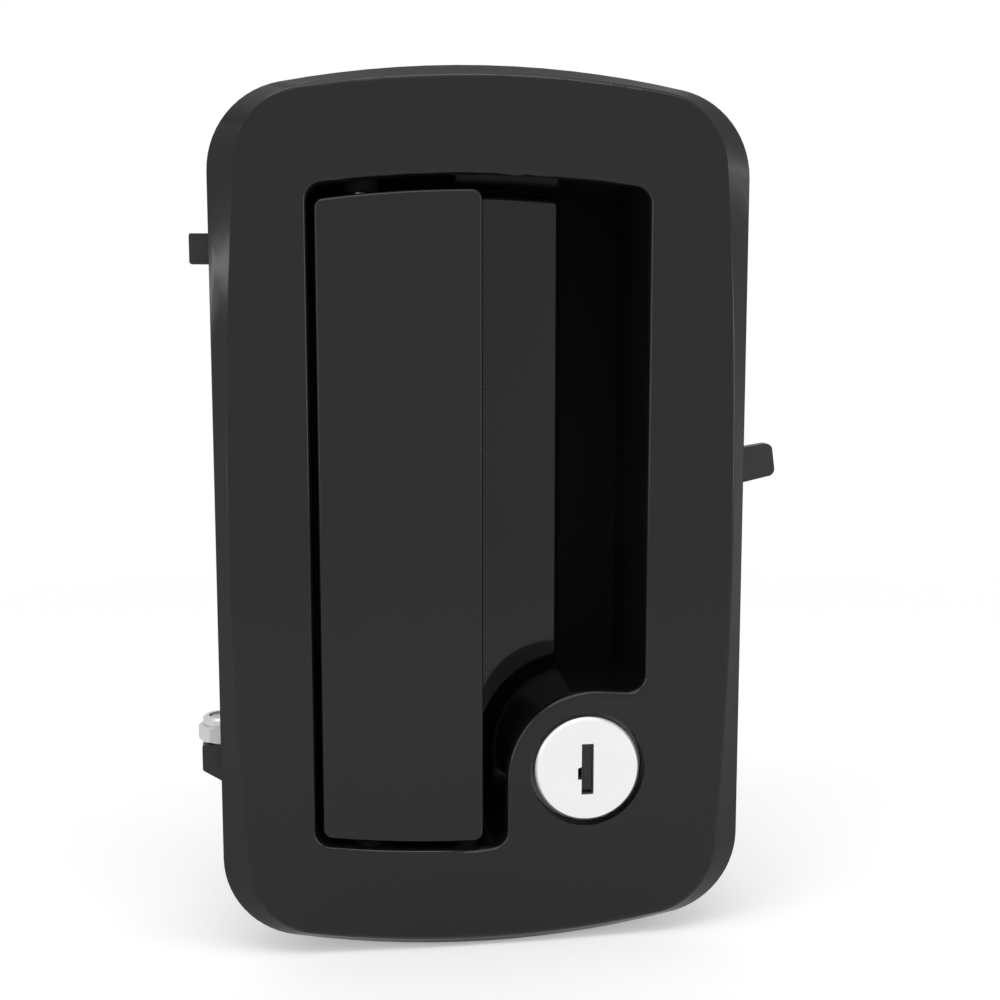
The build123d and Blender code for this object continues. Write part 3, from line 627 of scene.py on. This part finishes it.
class LATCH_OT_washer_teeth(bpy.types.Operator):
    """Add the locking teeth round the washers under the clamp screws"""

    bl_idname = "latch.washer_teeth"
    bl_label = "Washer teeth"

    def execute(self, context):
        hardware = context.scene.latch_hardware
        low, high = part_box("clamp_washers")
        thickness = high[1] - low[1]
        centres = [
            (x, (low[1] + high[1]) / 2 + TOOTH_OFFSET, z)
            for x in (low[0] + WASHER_RADIUS, high[0] - WASHER_RADIUS)
            for z in (low[2] + WASHER_RADIUS, high[2] - WASHER_RADIUS)
        ]
        values = {
            "Radius": WASHER_RADIUS,
            "Teeth": hardware.teeth,
            "Tooth Size": (hardware.tooth_reach, TOOTH_WIDTH, thickness * TOOTH_THICKNESS),
            "Finish": bpy.data.materials["zinc_washers"],
        }
        grow("washer_teeth", tooth_rings_group(), centres, values, "housing")
        return {"FINISHED"}


class LATCH_OT_threads(bpy.types.Operator):
    """Add the thread on the end of the pivot screw"""

    bl_idname = "latch.threads"
    bl_label = "Threads"

    def execute(self, context):
        hardware = context.scene.latch_hardware
        group = wound_wire_group()
        nut_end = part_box("pivot_nut")[1][1]
        screw_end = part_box("pivot_screw")[1][1]
        run = screw_end - nut_end - THREAD_END_GAP
        values = {
            "Radius": hardware.thread_radius - THREAD_WIRE,
            "Wire Radius": THREAD_WIRE,
            "Turns": max(run / hardware.thread_pitch, 1.0),
            "Height": run,
            "Rotation": (math.radians(-90), 0, 0),
            "Finish": bpy.data.materials["zinc_screws"],
        }
        centre = middle("pivot_screw")
        start = [(centre.x, nut_end + THREAD_START, centre.z)]
        grow("pivot_thread", group, start, values, "housing")
        return {"FINISHED"}


class LATCH_OT_nut_rings(bpy.types.Operator):
    """Add the nylon rings in the collars of the two lock nuts"""

    bl_idname = "latch.nut_rings"
    bl_label = "Nut rings"

    def execute(self, context):
        hardware = context.scene.latch_hardware
        ring = nylon("nut_nylon")
        group = wound_wire_group()
        values = {
            "Radius": hardware.thread_radius + NUT_RING_WIRE + NUT_RING_GAP,
            "Wire Radius": NUT_RING_WIRE,
            "Turns": 1.0,
            "Height": 0.0,
            "Rotation": (math.radians(-90), 0, 0),
            "Finish": ring,
        }
        pivot = middle("pivot_nut")
        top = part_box("pivot_nut")[1][1]
        start = [(pivot.x, top - NUT_RING_WIRE * NUT_RING_SINK, pivot.z)]
        grow("pivot_nut_ring", group, start, values, "housing")
        anchor = middle("anchor_nut")
        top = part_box("anchor_nut")[1][2]
        values["Rotation"] = (0, 0, 0)
        start = [(anchor.x, anchor.y, top - NUT_RING_WIRE * NUT_RING_SINK)]
        grow("anchor_nut_ring", group, start, values, "housing")
        return {"FINISHED"}


class LATCH_OT_stage(bpy.types.Operator):
    """Lay the floor, hang the lamps and set up the camera"""

    bl_idname = "latch.stage"
    bl_label = "Studio"

    def lamp(self, name, place, aim, width, height, power):
        data = bpy.data.lights.new(name, "AREA")
        data.shape = "RECTANGLE"
        data.size = width
        data.size_y = height
        data.energy = power
        lamp = bpy.data.objects.new(name, data)
        lamp.location = place
        lamp.rotation_mode = "QUATERNION"
        lamp.rotation_quaternion = (Vector(aim) - Vector(place)).to_track_quat("-Z", "Y")
        bpy.context.scene.collection.objects.link(lamp)

    def execute(self, context):
        studio = context.scene.latch_studio
        scene = context.scene
        scene.view_settings.view_transform = "Standard"
        # floor
        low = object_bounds()[0]
        level = low.z - FLOOR_DROP
        mesh = bpy.data.meshes.new("studio_floor")
        corners = [
            (-FLOOR_HALF, -FLOOR_HALF, level),
            (FLOOR_HALF, -FLOOR_HALF, level),
            (FLOOR_HALF, FLOOR_HALF, level),
            (-FLOOR_HALF, FLOOR_HALF, level),
        ]
        mesh.from_pydata(corners, [], [(0, 1, 2, 3)])
        floor = bpy.data.objects.new("studio_floor", mesh)
        scene.collection.objects.link(floor)
        floor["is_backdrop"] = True
        pale, tree = new_material("studio_floor_paint")
        looked_at = tree.node("ShaderNodeLightPath", output="Is Camera Ray")
        reflected = tree.node("ShaderNodeLightPath", output="Is Glossy Ray")
        seen = (looked_at + reflected).clamped()
        ripple = tree.noise(6.0, 2.0)
        floor_colour = studio.floor_colour
        shade = colour(floor_colour[0] * 0.99, floor_colour[1] * 0.99, floor_colour[2] * 0.99)
        paint = tree.principled(
            Base_Color=tree.mix(ripple, shade, colour(*floor_colour)),
            Roughness=0.9,
            Specular_IOR_Level=0.1,
        )
        lift = tree.node(
            "ShaderNodeEmission", inputs={"Color": colour(1.0), "Strength": seen * FLOOR_LIFT}
        )
        near = tree.node("ShaderNodeAddShader", inputs={0: paint, 1: lift})
        reach = tree.node("ShaderNodeVectorMath", {"operation": "LENGTH"}, {0: tree.place()}, output=1)
        far = ((reach - FADE_START) * FADE_RATE).clamped() * seen
        glow = tree.node("ShaderNodeEmission", inputs={"Color": colour(1.0), "Strength": 1.0})
        tree.surface(tree.node("ShaderNodeMixShader", inputs={0: far, 1: near, 2: glow}))
        mesh.materials.append(pale)
        # surroundings: white to the eye and in reflections, plainer as a light
        world = bpy.data.worlds.new("studio_surroundings")
        scene.world = world
        tree = Tree(world)
        direct = tree.node("ShaderNodeLightPath", output="Is Camera Ray")
        mirrored = tree.node("ShaderNodeLightPath", output="Is Glossy Ray")
        through = tree.node("ShaderNodeLightPath", output="Is Transmission Ray")
        white = (direct + mirrored + through).clamped()
        strength = white * (1.0 - studio.fill) + studio.fill
        sky = tree.node("ShaderNodeBackground", inputs={"Color": colour(1.0), "Strength": strength})
        tree.node("ShaderNodeOutputWorld", inputs={"Surface": sky})
        # lamps
        centre = (0.0, 0.0, 0.0)
        self.lamp("lamp_above", (-0.15, -0.25, 0.75), centre, 0.7, 0.7, studio.key_power)
        self.lamp("lamp_right", (0.62, -0.28, 0.05), centre, 0.05, 0.8, studio.side_power)
        self.lamp("lamp_left", (-0.62, -0.30, 0.05), centre, 0.05, 0.8, studio.side_power)
        self.lamp("lamp_high", (0.0, -0.30, 0.62), centre, 0.8, 0.04, studio.side_power)
        # camera
        data = bpy.data.cameras.new("studio_camera")
        data.lens = studio.lens
        data.clip_start = 0.01
        camera = bpy.data.objects.new("studio_camera", data)
        camera.location = studio.camera_place
        camera.rotation_mode = "QUATERNION"
        camera.rotation_quaternion = Vector(studio.camera_aim).to_track_quat("-Z", "Y")
        scene.collection.objects.link(camera)
        scene.camera = camera
        return {"FINISHED"}


OPERATORS = (
    LATCH_OT_mouldings,
    LATCH_OT_coated_steel,
    LATCH_OT_bright_hardware,
    LATCH_OT_lock,
    LATCH_OT_rubber,
    LATCH_OT_washer_teeth,
    LATCH_OT_threads,
    LATCH_OT_nut_rings,
    LATCH_OT_stage,
)


class LATCH_PT_sidebar(bpy.types.Panel):
    """Lists the settings and the steps of the latch"""

    bl_idname = "LATCH_PT_sidebar"
    bl_label = "Paddle latch"
    bl_space_type = "VIEW_3D"
    bl_region_type = "UI"
    bl_category = "Latch"

    def draw(self, context):
        layout = self.layout
        for group in (context.scene.latch_finish, context.scene.latch_hardware, context.scene.latch_studio):
            box = layout.box()
            for name in group.__annotations__:
                box.prop(group, name)
        for step in OPERATORS:
            layout.operator(step.bl_idname)


CLASSES = (LatchFinish, LatchHardware, LatchStudio) + OPERATORS + (LATCH_PT_sidebar,)


def register():
    for made in CLASSES:
        bpy.utils.register_class(made)
    bpy.types.Scene.latch_finish = PointerProperty(type=LatchFinish)
    bpy.types.Scene.latch_hardware = PointerProperty(type=LatchHardware)
    bpy.types.Scene.latch_studio = PointerProperty(type=LatchStudio)


def unregister():
    del bpy.types.Scene.latch_finish
    del bpy.types.Scene.latch_hardware
    del bpy.types.Scene.latch_studio
    for made in reversed(CLASSES):
        bpy.utils.unregister_class(made)


def main():
    register()
    bpy.ops.latch.mouldings()
    bpy.ops.latch.coated_steel()
    bpy.ops.latch.bright_hardware()
    bpy.ops.latch.lock()
    bpy.ops.latch.rubber()
    bpy.ops.latch.washer_teeth()
    bpy.ops.latch.threads()
    bpy.ops.latch.nut_rings()
    bpy.ops.latch.stage()


if __name__ == "__main__":
    main()
